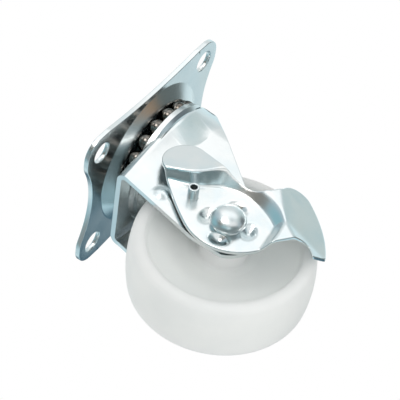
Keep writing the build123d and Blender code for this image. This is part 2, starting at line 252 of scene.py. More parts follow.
@dataclass(frozen=True)
class BrightZinc(Finish):
    """Bright zinc plating with a blue passivated film."""

    base: Colour = (0.79, 0.815, 0.815)
    film: Colour = (0.71, 0.78, 0.80)
    straw: Colour = (0.81, 0.80, 0.76)
    dull: Colour = (0.55, 0.58, 0.60)
    roughness: float = 0.18
    roughness_swing: float = 0.05
    patch_mm: float = 9.0
    film_from_to: Point2 = (0.35, 0.7)
    straw_scale: float = 1.7
    straw_stretch: Triple = (1.0, 0.6, 1.3)
    straw_from_to: Point2 = (0.55, 0.8)
    straw_share: float = 0.6
    ripple_mm: float = 2.2
    ripple_depth_mm: float = 0.004
    ripple_strength: float = 0.35
    grain_mm: float = 0.35
    grain_stretch: Triple = (1.0, 1.0, 0.25)
    grain_share: float = 0.12
    grain_lift: float = 0.15

    def skin(self, graph: Graph) -> dict[str, Any]:
        """Metal whose film drifts in hue, with rolled grain and ripples.

        Args:
            graph: the material's tree.

        Returns:
            The shader's values.
        """
        patches = graph.noise(self.patch_mm, 3.0)
        warm = graph.noise(self.patch_mm * self.straw_scale, 2.0, self.straw_stretch)
        grain = graph.noise(self.grain_mm, 2.0, self.grain_stretch)
        colour = graph.mix(patches.between(*self.film_from_to), self.base, self.film)
        colour = graph.mix(warm.between(*self.straw_from_to) * self.straw_share, colour, self.straw)
        colour = graph.mix(grain * self.grain_share, colour, self.dull)
        rough = self.roughness + patches * self.roughness_swing + grain * self.roughness_swing
        ripple = graph.noise(self.ripple_mm, 1.0) + grain * self.grain_lift
        relief = {"Strength": self.ripple_strength, "Distance": self.ripple_depth_mm * MM}
        bump = graph.node("ShaderNodeBump", {}, {**relief, "Height": ripple})
        return {"Base Color": colour, "Metallic": 1.0, "Roughness": rough, "Normal": bump}


@dataclass(frozen=True)
class BearingSteelWithPaintedShade(Finish):
    """Polished, oily ball steel, darkened all over as painted shade of the balls sunk in their race."""

    # base and the smear colour are set far darker than bright steel: painted shade for the balls sunk in
    # their race
    base: Colour = (0.22, 0.205, 0.19)
    oil_and_painted_shade: Colour = (0.10, 0.085, 0.07)
    roughness: float = 0.08
    smear_mm: float = 1.6
    smear_from_to: Point2 = (0.4, 0.75)
    smear_roughness: float = 0.12

    def skin(self, graph: Graph) -> dict[str, Any]:
        """Polished steel darkened as painted shade of the race, with thin oily smears that are darker
        still.

        Args:
            graph: the material's tree.

        Returns:
            The shader's values.
        """
        smear = graph.noise(self.smear_mm, 2.0)
        colour = graph.mix(smear.between(*self.smear_from_to), self.base, self.oil_and_painted_shade)
        rough = self.roughness + smear * self.smear_roughness
        return {"Base Color": colour, "Metallic": 1.0, "Roughness": rough}


@dataclass(frozen=True)
class MouldedPlastic(Finish):
    """White moulded plastic with a satin skin."""

    base: Colour = (0.86, 0.875, 0.86)
    shade: Colour = (0.82, 0.84, 0.83)
    roughness: float = 0.5
    cloud_mm: float = 14.0
    cloud_from_to: Point2 = (0.3, 0.7)
    flow_mm: float = 3.0
    flow_stretch: Triple = (1.0, 0.3, 1.0)
    flow_from_to: Point2 = (0.5, 0.8)
    flow_share: float = 0.25
    flow_roughness: float = 0.06
    spark_mm: float = 0.3
    spark_roughness: float = 0.08
    relief_mm: float = 0.006
    relief_strength: float = 0.2
    glow_weight: float = 0.85
    glow_mm: float = 8.0
    bending: float = 1.49

    def skin(self, graph: Graph) -> dict[str, Any]:
        """Slightly clouded plastic with flow marks and a fine spark texture.

        Args:
            graph: the material's tree.

        Returns:
            The shader's values.
        """
        cloud = graph.noise(self.cloud_mm, 3.0)
        flow = graph.noise(self.flow_mm, 2.0, self.flow_stretch)
        spark = graph.noise(self.spark_mm, 1.0)
        colour = graph.mix(cloud.between(*self.cloud_from_to), self.base, self.shade)
        colour = graph.mix(flow.between(*self.flow_from_to) * self.flow_share, colour, self.shade)
        rough = self.roughness + spark * self.spark_roughness + flow * self.flow_roughness
        relief = {"Strength": self.relief_strength, "Distance": self.relief_mm * MM}
        bump = graph.node("ShaderNodeBump", {}, {**relief, "Height": spark + flow})
        return {
            "Base Color": colour,
            "Roughness": rough,
            "Normal": bump,
            "Subsurface Weight": self.glow_weight,
            "Subsurface Radius": (1.0, 1.0, 1.0),
            "Subsurface Scale": self.glow_mm * MM,
            "IOR": self.bending,
        }


class Finishes:
    """The materials of the castor, built once."""

    def __init__(self) -> None:
        """Builds every finish."""
        self.plate = BrightZinc("zinc_on_plate", patch_mm=11.0, roughness=0.2).build()
        self.fork = BrightZinc("zinc_on_fork").build()
        self.lever = BrightZinc("zinc_on_lever", patch_mm=7.0, roughness=0.17).build()
        dulled = (0.76, 0.79, 0.79)
        self.rivet = BrightZinc("zinc_on_rivet", base=dulled, patch_mm=4.0, roughness=0.24).build()
        # ball steel darkened all over as painted shade of the race
        self.ball = BearingSteelWithPaintedShade("ball_steel_with_painted_shade").build()
        self.wheel = MouldedPlastic("satin_white_plastic").build()


# Axes seen from the photograph's camera as (right, up, forward)
RIGHT = (1.0, 0.0, 0.0)
UP = (0.0, 1.0, 0.0)
FRONT = (0.0, 0.0, 1.0)
SPLIT = (0.513, 0.858, 0.0)
SLANT = (0.2425, 0.0, 0.970)


@dataclass(frozen=True)
class Card:
    """A soft-edged patch of the studio round the object, as reflections see it.

    Each cut is (axis, none, full): along that axis, seen from the photograph's
    camera as (right, up, forward), the patch fades in from none to full.
    """

    colour: Colour
    cuts: tuple[tuple[Triple, float, float], ...]


@dataclass
class Studio:
    """Camera, floor, lamps and surroundings."""

    camera_mm: Triple = (-358.4, -432.2, -218.1)
    right: Triple = (0.577, -0.1069, -0.8097)
    down: Triple = (-0.5548, 0.6763, -0.4846)
    forward: Triple = (0.5994, 0.7288, 0.3309)
    focal_px: float = 2202.2
    centre_px: Point2 = (202.659, 193.666)
    sensor_mm: float = 36.0
    ambient: Colour = (0.66, 0.665, 0.66)
    floor: Colour = (0.93, 0.93, 0.93)
    floor_reach: float = 2.5
    floor_lift: float = 0.12
    lamp_away: float = 0.8
    lamps: tuple[tuple[str, Triple, float, float], ...] = (
        ("softbox", (0.157, 0.987, -0.3), 0.3, 0.6),
        ("fill_front", (0.26, -0.12, -0.96), 0.5, 1.9),
        ("overhead", (-0.74, 0.07, 0.65), 0.5, 2.0),
    )
    surround: Colour = (0.50, 0.60, 0.65)
    cards: tuple[Card, ...] = (
        Card((0.80, 0.96, 1.0), ((FRONT, 0.2, 0.5),)),
        Card((0.05, 0.12, 0.17), ((SPLIT, 0.035, -0.04), (RIGHT, -0.6, -0.35))),
        Card((0.60, 0.84, 0.92), ((UP, -0.60, -0.74),)),
        Card((0.12, 0.15, 0.15), (((0.93, -0.07, 0.32), 0.86, 0.93),)),
        Card((0.36, 0.21, 0.10), (((0.965, -0.25, -0.045), 0.965, 0.985),)),
        Card((0.31, 0.55, 0.61), ((RIGHT, -0.70, -0.88),)),
        Card((0.29, 0.34, 0.35), ((FRONT, 0.1, -0.2), (UP, 0.0, -0.2))),
        Card((0.18, 0.235, 0.24), ((FRONT, -0.48, -0.68),)),
        Card((0.36, 0.58, 0.63), (((-0.36, -0.08, -0.93), 0.94, 0.97),)),
        Card((0.21, 0.20, 0.18), (((-0.62, 0.30, -0.72), 0.93, 0.97),)),
        Card((0.62, 0.72, 0.72), ((RIGHT, 0.45, 0.6), (UP, 0.3, 0.5))),
        Card((0.16, 0.19, 0.21), (((0.93, 0.37, 0.0), 0.93, 0.97),)),
        Card((0.84, 0.885, 0.89), ((UP, 0.60, 0.85), (RIGHT, -0.5, -0.3), (RIGHT, 0.6, 0.4))),
        Card(
            (1.05, 1.06, 1.06),
            ((FRONT, -0.5, -0.7), (UP, -0.02, 0.12), (UP, 0.75, 0.5), (RIGHT, -0.25, -0.05)),
        ),
        Card((0.95, 1.15, 1.2), (((0.06, -0.27, -0.96), 0.972, 0.988),)),
        Card(
            (1.35, 1.35, 1.35),
            (
                (SLANT, 0.095, 0.03),
                (FRONT, -0.65, -0.4),
                (RIGHT, -0.42, -0.28),
                (RIGHT, 0.66, 0.56),
                (UP, 0.2, 0.4),
            ),
        ),
        Card((5.0, 4.8, 4.6), (((-0.2, 0.6, -0.77), 0.962, 0.98),)),
    )

    def build(self) -> None:
        """Makes everything round the object."""
        self._camera()
        self._floor()
        self._world()
        self._lamps()
        bpy.context.scene.view_settings.view_transform = "Standard"

    def _from_camera(self, direction: Triple) -> Vector:
        """Turns a direction seen from the photograph's camera into the row frame.

        Args:
            direction: its (right, up, forward).

        Returns:
            The unit direction in the row frame.
        """
        right, down, forward = Vector(self.right), Vector(self.down), Vector(self.forward)
        turned = right * direction[0] - down * direction[1] + forward * direction[2]
        return turned.normalized()

    def _camera(self) -> None:
        """Camera at the photograph's place."""
        data = bpy.data.cameras.new("photo_camera")
        data.sensor_width = self.sensor_mm
        data.lens = self.sensor_mm * self.focal_px / PHOTO_PIXELS
        data.shift_x = -(self.centre_px[0] - PHOTO_PIXELS / 2) / PHOTO_PIXELS
        data.shift_y = (self.centre_px[1] - PHOTO_PIXELS / 2) / PHOTO_PIXELS
        data.clip_start = 0.01
        data.clip_end = 50.0
        camera = bpy.data.objects.new("photo_camera", data)
        bpy.context.scene.collection.objects.link(camera)
        axes = Matrix((self.right, [-d for d in self.down], [-f for f in self.forward])).transposed()
        camera.matrix_world = Matrix.Translation(Vector(self.camera_mm) * MM) @ axes.to_4x4()
        bpy.context.scene.camera = camera

    def _floor(self) -> None:
        """Pale floor under the wheel that can be looked through from below."""
        reach = self.floor_reach
        corners = [(-reach, -reach), (reach, -reach), (reach, reach), (-reach, reach)]
        mesh = bpy.data.meshes.new("floor")
        mesh.from_pydata([(x, y, FLOOR_Z * MM) for x, y in corners], [], [(0, 1, 2, 3)])
        floor = link(mesh, "floor")
        floor.visible_glossy = False
        floor.visible_diffuse = False
        floor.visible_shadow = False
        material = bpy.data.materials.new("studio_floor")
        material.use_nodes = True
        graph = Graph(material.node_tree)
        below = graph.node("ShaderNodeNewGeometry", out="Backfacing")
        matt = graph.node("ShaderNodeBsdfDiffuse", {}, {"Color": (*self.floor, 1.0)})
        lift = graph.node("ShaderNodeLightPath", out="Is Camera Ray") * self.floor_lift
        glow = graph.node("ShaderNodeEmission", {}, {"Color": (1.0, 1.0, 1.0, 1.0), "Strength": lift})
        matt = graph.node("ShaderNodeAddShader", {}, {0: matt, 1: glow})
        clear = graph.node("ShaderNodeBsdfTransparent")
        surface = graph.node("ShaderNodeMixShader", {}, {0: below, 1: matt, 2: clear})
        graph.node("ShaderNodeOutputMaterial", {}, {"Surface": surface})
        mesh.materials.append(material)

    def _world(self) -> None:
        """White to the camera, plain to matt surfaces, and a soft studio to the metal."""
        world = bpy.data.worlds.new("studio")
        bpy.context.scene.world = world
        world.use_nodes = True
        graph = Graph(world.node_tree)
        towards = graph.node("ShaderNodeTexCoord", out="Generated")
        seen: Sock | Colour = self.surround
        for card in self.cards:
            share: Sock | float = 1.0
            for cut, none, full in card.cuts:
                ends = {0: towards, 1: self._from_camera(cut)}
                dot = graph.node("ShaderNodeVectorMath", {"operation": "DOT_PRODUCT"}, ends, "Value")
                share = dot.between(none, full) * share
            seen = graph.mix(share, seen, card.colour)
        path = "ShaderNodeLightPath"
        glossy = graph.node(path, out="Is Glossy Ray")
        camera = graph.node(path, out="Is Camera Ray")
        colour = graph.mix(glossy, self.ambient, seen)
        colour = graph.mix(camera, colour, (1.0, 1.0, 1.0))
        light = graph.node("ShaderNodeBackground", {}, {"Color": colour, "Strength": 1.0})
        graph.node("ShaderNodeOutputWorld", {}, {"Surface": light})

    def _lamps(self) -> None:
        """Soft lamps above, before and beside the object, unseen by the metal."""
        for name, towards, size, energy in self.lamps:
            data = bpy.data.lights.new(name, "AREA")
            data.shape = "DISK"
            data.size = size
            data.energy = energy
            lamp = bpy.data.objects.new(name, data)
            bpy.context.scene.collection.objects.link(lamp)
            lamp.visible_glossy = False
            away = self._from_camera(towards)
            lamp.location = Vector((AXLE_X, 0.0, AXLE_Z)) * MM + away * self.lamp_away
            lamp.rotation_euler = away.to_track_quat("Z", "Y").to_euler()


def link(mesh: bpy.types.Mesh, name: str) -> bpy.types.Object:
    """Puts a mesh into the scene as an object at the origin.

    Args:
        mesh: the mesh, with its place in it.
        name: the object's name.

    Returns:
        The new object.
    """
    made = bpy.data.objects.new(name, mesh)
    bpy.context.scene.collection.objects.link(made)
    return made


class GrownTree(Graph):
    """Geometry Nodes tree with named inputs."""

    def __init__(self, name: str, inputs: Mapping[str, str]) -> None:
        """Makes the tree and its interface.

        Args:
            name: the tree's name.
            inputs: kind of each named input after the geometry.
        """
        super().__init__(bpy.data.node_groups.new(name, "GeometryNodeTree"))
        geometry = {"Geometry": "Geometry"}
        for side, sockets in (("INPUT", {**geometry, **inputs}), ("OUTPUT", geometry)):
            for label, kind in sockets.items():
                self.tree.interface.new_socket(label, in_out=side, socket_type="NodeSocket" + kind)
        self.source = self.tree.nodes.new("NodeGroupInput")
        self.sink = self.tree.nodes.new("NodeGroupOutput")

    def given(self, label: str) -> Sock:
        """The named input's socket."""
        return Sock(self, self.source.outputs[label])

    def finish(self, geometry: Sock) -> bpy.types.NodeTree:
        """Realizes the result and gives it the material.

        Args:
            geometry: the geometry to end with.

        Returns:
            The finished tree.
        """
        real = self.node("GeometryNodeRealizeInstances", {}, {0: geometry})
        values = {"Geometry": real, "Material": self.given("Material")}
        dressed = self.node("GeometryNodeSetMaterial", {}, values)
        self.tree.links.new(dressed.socket, self.sink.inputs[0])
        return self.tree


def grown(
    tree: bpy.types.NodeTree, seed: bpy.types.Mesh, name: str, values: Mapping[str, Any]
) -> bpy.types.Object:
    """Runs a Geometry Nodes tree on a mesh and keeps the plain result.

    Args:
        tree: the tree to run.
        seed: the mesh that goes in.
        name: the new piece's name.
        values: the tree's named inputs.

    Returns:
        An object at the origin with the resulting mesh.
    """
    holder = link(seed, name + "_seed")
    modifier = holder.modifiers.new("grow", "NODES")
    modifier.node_group = tree
    for item in tree.interface.items_tree:
        if item.in_out == "INPUT" and item.name in values:
            modifier[item.identifier] = values[item.name]
    holder.update_tag()
    evaluated = holder.evaluated_get(bpy.context.evaluated_depsgraph_get())
    mesh = bpy.data.meshes.new_from_object(evaluated)
    mesh.name = name
    bpy.data.objects.remove(holder)
    return link(mesh, name)


@dataclass
class BallRaces:
    """The two full rings of balls."""

    finish: bpy.types.Material
    rings: tuple[tuple[str, Body, int, float, float, float], ...] = (
        ("upper_ball", Body.UPPER_BALLS, 19, 15.3, -5.491, 2.381),
        ("lower_ball", Body.LOWER_BALLS, 12, 8.4, -10.546, 1.984),
    )

    def build(self, frame: Mapping[str, Any]) -> None:
        """Makes one mesh for each ring.

        Args:
            frame: the loaded frame.
        """
        tree = self._tree()
        for prefix, body, count, race_mm, height_mm, ball_mm in self.rings:
            values = {
                "Count": count,
                "Race Radius": race_mm * MM,
                "Ball Radius": ball_mm * MM,
                "Height": height_mm * MM,
                "Material": self.finish,
            }
            ring = grown(tree, bpy.data.meshes.new(prefix), prefix + "_ring", values)
            nodes = sorted(n for n in frame["nodes"] if n.startswith(prefix))
            settle(ring, body, Slot.BALL, nodes)

    @staticmethod
    def _tree() -> bpy.types.NodeTree:
        """Balls on a circle, each turned so that its poles lie across the race.

        Returns:
            The tree.
        """
        sizes = {name: "Float" for name in ("Race Radius", "Ball Radius", "Height")}
        tree = GrownTree("ball_race", {"Count": "Int", **sizes, "Material": "Material"})
        count = tree.given("Count")
        values = {"Resolution": count, "Radius": tree.given("Race Radius")}
        circle = tree.node("GeometryNodeCurvePrimitiveCircle", {}, values)
        half = tree.node("ShaderNodeMath", {"operation": "DIVIDE"}, {0: math.pi, 1: count})
        turn = tree.node("ShaderNodeCombineXYZ", {}, {"Z": half})
        lift = tree.node("ShaderNodeCombineXYZ", {}, {"Z": tree.given("Height")})
        values = {"Geometry": circle, "Translation": lift, "Rotation": turn}
        placed = tree.node("GeometryNodeTransform", {}, values)
        values = {"Segments": 40, "Rings": 20, "Radius": tree.given("Ball Radius")}
        ball = tree.node("GeometryNodeMeshUVSphere", {}, values)
        smooth = tree.node("GeometryNodeSetShadeSmooth", {}, {"Geometry": ball})
        spin = tree.node("ShaderNodeCombineXYZ", {}, {"Y": math.pi / 2})
        values = {"Points": placed, "Instance": smooth, "Rotation": spin}
        return tree.finish(tree.node("GeometryNodeInstanceOnPoints", {}, values))


def rounded(points: Sequence[Triple], step_deg: float = 12.0) -> list[Point2]:
    """Rounds the corners of a profile.

    Args:
        points: (radius, along, fillet) of each corner in order, open at both ends.
        step_deg: turn between two points of a fillet.

    Returns:
        The (radius, along) points of the rounded profile.
    """
    out: list[Point2] = [points[0][:2]]
    for before, here, after in zip(points, points[1:], points[2:]):
        corner = Vector(here[:2])
        back = (Vector(before[:2]) - corner).normalized()
        on = (Vector(after[:2]) - corner).normalized()
        angle = back.angle(on)
        if here[2] <= 0 or angle > math.radians(179.0):
            out.append((corner.x, corner.y))
            continue
        reach = here[2] / math.tan(angle / 2)
        centre = corner + (back + on).normalized() * (here[2] / math.sin(angle / 2))
        start, end = corner + back * reach - centre, corner + on * reach - centre
        sweep = start.angle_signed(end)
        steps = max(2, round(abs(math.degrees(sweep)) / step_deg))
        for k in range(steps + 1):
            turn = Matrix.Rotation(-sweep * k / steps, 2)
            spot = centre + turn @ start
            out.append((spot.x, spot.y))
    out.append(points[-1][:2])
    return out


def smoothed(mesh: bpy.types.Mesh, weld_mm: float = 0.0) -> None:
    """Turns a closed mesh's faces outwards and shades them smooth.

    Args:
        mesh: the mesh, changed in place.
        weld_mm: points nearer than this become one, unless it is nought.
    """
    shape = bmesh.new()
    shape.from_mesh(mesh)
    if weld_mm:
        bmesh.ops.remove_doubles(shape, verts=shape.verts, dist=weld_mm * MM)
    bmesh.ops.recalc_face_normals(shape, faces=shape.faces)
    for face in shape.faces:
        face.smooth = True
    shape.to_mesh(mesh)
    shape.free()


@dataclass
class Turning:
    """A piece turned about the axle's direction, swept by Geometry Nodes from its profile."""

    name: str
    body: Body
    slot: Slot
    finish: bpy.types.Material
    profile: Sequence[Point2]
    node: str
    segments: int
    across_mm: Point2 = (0.0, 0.0)
    sharp_deg: float = 35.0
    weld_mm: float = 0.001

    SWEEP_MM = 40.0

    def build(self) -> bpy.types.Object:
        """Sweeps the profile, puts the result on its axis and closes its poles.

        Returns:
            The new piece.
        """
        seed = bpy.data.meshes.new(self.name)
        dots = [((r - self.SWEEP_MM) * MM, -a * MM, 0.0) for r, a in self.profile]
        seed.from_pydata(dots, [(i, (i + 1) % len(dots)) for i in range(len(dots))], [])
        values = {"Segments": self.segments, "Sweep Radius": self.SWEEP_MM * MM, "Material": self.finish}
        piece = grown(turning_tree(), seed, self.name, values)
        along_x, along_z = self.across_mm
        place = Matrix.Translation(Vector((AXLE_X + along_x, 0.0, AXLE_Z + along_z)) * MM)
        piece.data.transform(place @ Matrix.Rotation(math.radians(-90.0), 4, "X"))
        smoothed(piece.data, self.weld_mm)
        piece.data.set_sharp_from_angle(angle=math.radians(self.sharp_deg))
        return settle(piece, self.body, self.slot, [self.node])


def turning_tree() -> bpy.types.NodeTree:
    """Tree that sweeps a closed profile round a circle, made once.

    Returns:
        The tree.
    """
    label = "turned_profile"
    if label in bpy.data.node_groups:
        return bpy.data.node_groups[label]
    kinds = {"Segments": "Int", "Sweep Radius": "Float", "Material": "Material"}
    tree = GrownTree(label, kinds)
    profile = tree.node("GeometryNodeMeshToCurve", {}, {0: tree.given("Geometry")})
    values = {"Resolution": tree.given("Segments"), "Radius": tree.given("Sweep Radius")}
    circle = tree.node("GeometryNodeCurvePrimitiveCircle", {}, values)
    swept = tree.node("GeometryNodeCurveToMesh", {}, {"Curve": circle, "Profile Curve": profile})
    return tree.finish(swept)


@dataclass
class PlasticWheel:
    """One moulding: crowned tread, dished sides and a hub."""

    finish: bpy.types.Material
    radius_mm: float = 25.0
    half_mm: float = 10.5
    crown_mm: float = 1.3
    edge_mm: float = 2.2
    rim_mm: float = 20.9
    lip_in_mm: float = 1.3
    wall_mm: float = 1.7
    wall_run_mm: float = 0.8
    dish_mm: float = 5.0
    dish_foot_mm: float = 9.6
    hub_mm: float = 6.7
    hub_end_mm: float = 6.4
    hub_half_mm: float = 11.7
    bore_mm: float = 4.49
    lip_fillet_mm: float = 0.7
    dish_fillet_mm: float = 1.0
    hub_fillet_mm: float = 0.35
    bore_fillet_mm: float = 0.3
    tread_steps: int = 14
    tread_clear: float = 1.3
    segments: int = 192

    def build(self) -> bpy.types.Object:
        """Turns the wheel.

        Returns:
            The wheel piece.
        """
        edge = self.radius_mm - self.crown_mm
        lip = self.half_mm - self.lip_in_mm
        web = self.half_mm - self.dish_mm
        side = [
            (edge, self.half_mm, self.edge_mm),
            (self.rim_mm, lip, self.lip_fillet_mm),
            (self.rim_mm - self.wall_run_mm, lip - self.wall_mm, self.dish_fillet_mm),
            (self.dish_foot_mm, web, self.dish_fillet_mm),
            (self.hub_mm, web, self.dish_fillet_mm),
            (self.hub_end_mm, self.hub_half_mm, self.hub_fillet_mm),
            (self.bore_mm, self.hub_half_mm, self.bore_fillet_mm),
        ]
        tread = []
        reach = 1.0 - self.tread_clear * self.edge_mm / self.half_mm
        for k in range(self.tread_steps + 1):
            t = (2.0 * k / self.tread_steps - 1.0) * reach
            tread.append((self.radius_mm - self.crown_mm * t * t, t * self.half_mm, 0.0))
        mirror = [(r, -a, f) for r, a, f in reversed(side)]
        middle = (self.bore_mm, 0.0, 0.0)
        profile = rounded([middle, *mirror, *tread, *side, middle])[:-1]
        given = (Body.WHEEL, Slot.WHEEL, self.finish, profile, "wheel", self.segments)
        return Turning("moulded_wheel", *given).build()


@dataclass
class AxleRivet:
    """Dome-headed rivet with its shop head behind the far leg."""

    finish: bpy.types.Material
    shank_mm: float = 3.0
    head_mm: float = 4.8
    head_rise_mm: float = 3.2
    head_foot_mm: float = 4.3
    head_band_mm: float = 1.1
    head_seat_mm: float = -15.75
    tail_mm: float = 4.6
    tail_seat_mm: float = 13.5
    tail_rise_mm: float = 1.9
    foot_fillet_mm: float = 0.1
    tail_fillets_mm: Triple = (0.2, 0.5, 0.6)
    dome_steps: int = 22
    segments: int = 96

    def build(self) -> bpy.types.Object:
        """Turns the rivet.

        Returns:
            The rivet piece.
        """
        turns = [math.pi / 2 * k / self.dome_steps for k in range(self.dome_steps + 1)]
        brow = self.head_seat_mm - self.head_band_mm
        dome = [(self.head_mm * math.sin(a), brow - self.head_rise_mm * math.cos(a)) for a in turns]
        end = self.tail_seat_mm + self.tail_rise_mm
        corners = [
            (*dome[-1], 0.0),
            (self.head_foot_mm, self.head_seat_mm, self.foot_fillet_mm),
            (self.shank_mm, self.head_seat_mm, 0.0),
            (self.shank_mm, self.tail_seat_mm, 0.0),
            (self.tail_mm, self.tail_seat_mm, self.tail_fillets_mm[0]),
            (self.tail_mm, self.tail_seat_mm + self.tail_rise_mm / 2, self.tail_fillets_mm[1]),
            (self.tail_mm / 2, end, self.tail_fillets_mm[2]),
            (0.0, end, 0.0),
        ]
        profile = [*dome, *rounded(corners)[1:]]
        given = (Body.FORK, Slot.RIVET, self.finish, profile, "axle_rivet", self.segments)
        return Turning("domed_rivet", *given).build()


@dataclass
class LeverPin:
    """Short tube that stands on the lever."""

    finish: bpy.types.Material
    outer_mm: float = 1.48
    bore_mm: float = 0.95
    foot_mm: float = -14.5
    tip_mm: float = -19.4
    edge_mm: float = 0.15
    step_deg: float = 30.0
    segments: int = 48

    def build(self) -> bpy.types.Object:
        """Turns the tube.

        Returns:
            The pin piece.
        """
        middle = (self.bore_mm, (self.foot_mm + self.tip_mm) / 2, 0.0)
        corners = [
            middle,
            (self.bore_mm, self.tip_mm, self.edge_mm),
            (self.outer_mm, self.tip_mm, self.edge_mm),
            (self.outer_mm, self.foot_mm, 0.0),
            (self.bore_mm, self.foot_mm, 0.0),
            middle,
        ]
        profile = rounded(corners, self.step_deg)[:-1]
        given = (Body.LEVER, Slot.RIVET, self.finish, profile, "lever_pin", self.segments)
        return Turning("tube_pin", *given, across_mm=PIN_AT_MM).build()


def through(a: Point2, b: Point2, c: Point2, spacing: float) -> np.ndarray:
    """Points on the arc from a through b to c, without c.

    Args:
        a: start.
        b: a point between.
        c: end.
        spacing: distance between two points.

    Returns:
        The points, one a row.
    """
    pa, pb, pc = (np.array(p) for p in (a, b, c))
    ab, ac = pb - pa, pc - pa
    cross = 2.0 * (ab[0] * ac[1] - ab[1] * ac[0])
    to_b, to_c = ab @ ab, ac @ ac
    centre = pa + np.array([ac[1] * to_b - ab[1] * to_c, ab[0] * to_c - ac[0] * to_b]) / cross
    start = math.atan2(*(pa - centre)[::-1])
    sweep = math.atan2(*(pc - centre)[::-1]) - start
    sweep -= 2 * math.pi * round(sweep / (2 * math.pi))
    if (cross > 0) != (sweep > 0):
        sweep += math.copysign(2 * math.pi, cross)
    radius = float(np.hypot(*(pa - centre)))
    steps = max(2, round(radius * abs(sweep) / spacing))
    turns = start + sweep * np.arange(steps) / steps
    return centre + radius * np.c_[np.cos(turns), np.sin(turns)]


def eased(points: Sequence[Sequence[float]], spacing: float) -> np.ndarray:
    """Points on a smooth curve through given points, without the last one.

    Args:
        points: the points that it passes, which may carry further values.
        spacing: distance between two of its points.

    Returns:
        The points, one a row.
    """
    p = np.array(points, float)
    padded = np.vstack([2 * p[0] - p[1], p, 2 * p[-1] - p[-2]])
    out = []
    for a, b, c, d in zip(padded, padded[1:], padded[2:], padded[3:]):
        steps = max(1, round(float(np.hypot(*(c - b)[:2])) / spacing))
        t = (np.arange(steps) / steps)[:, None]
        bend, twist = 2 * a - 5 * b + 4 * c - d, 3 * b - a - 3 * c + d
        out.append(0.5 * (2 * b + (c - a) * t + bend * t**2 + twist * t**3))
    return np.vstack(out)


def soft_step(x: np.ndarray, width: float) -> np.ndarray:
    """Nought below nought and x above it, with the bend rounded over a width."""
    return np.where(x < -width, 0.0, np.where(x > width, x, (x + width) ** 2 / (4 * width)))


def soft_least(a: np.ndarray, b: np.ndarray, width: float) -> np.ndarray:
    """The lesser of two values, with the bend between them rounded."""
    return a - soft_step(a - b, width)


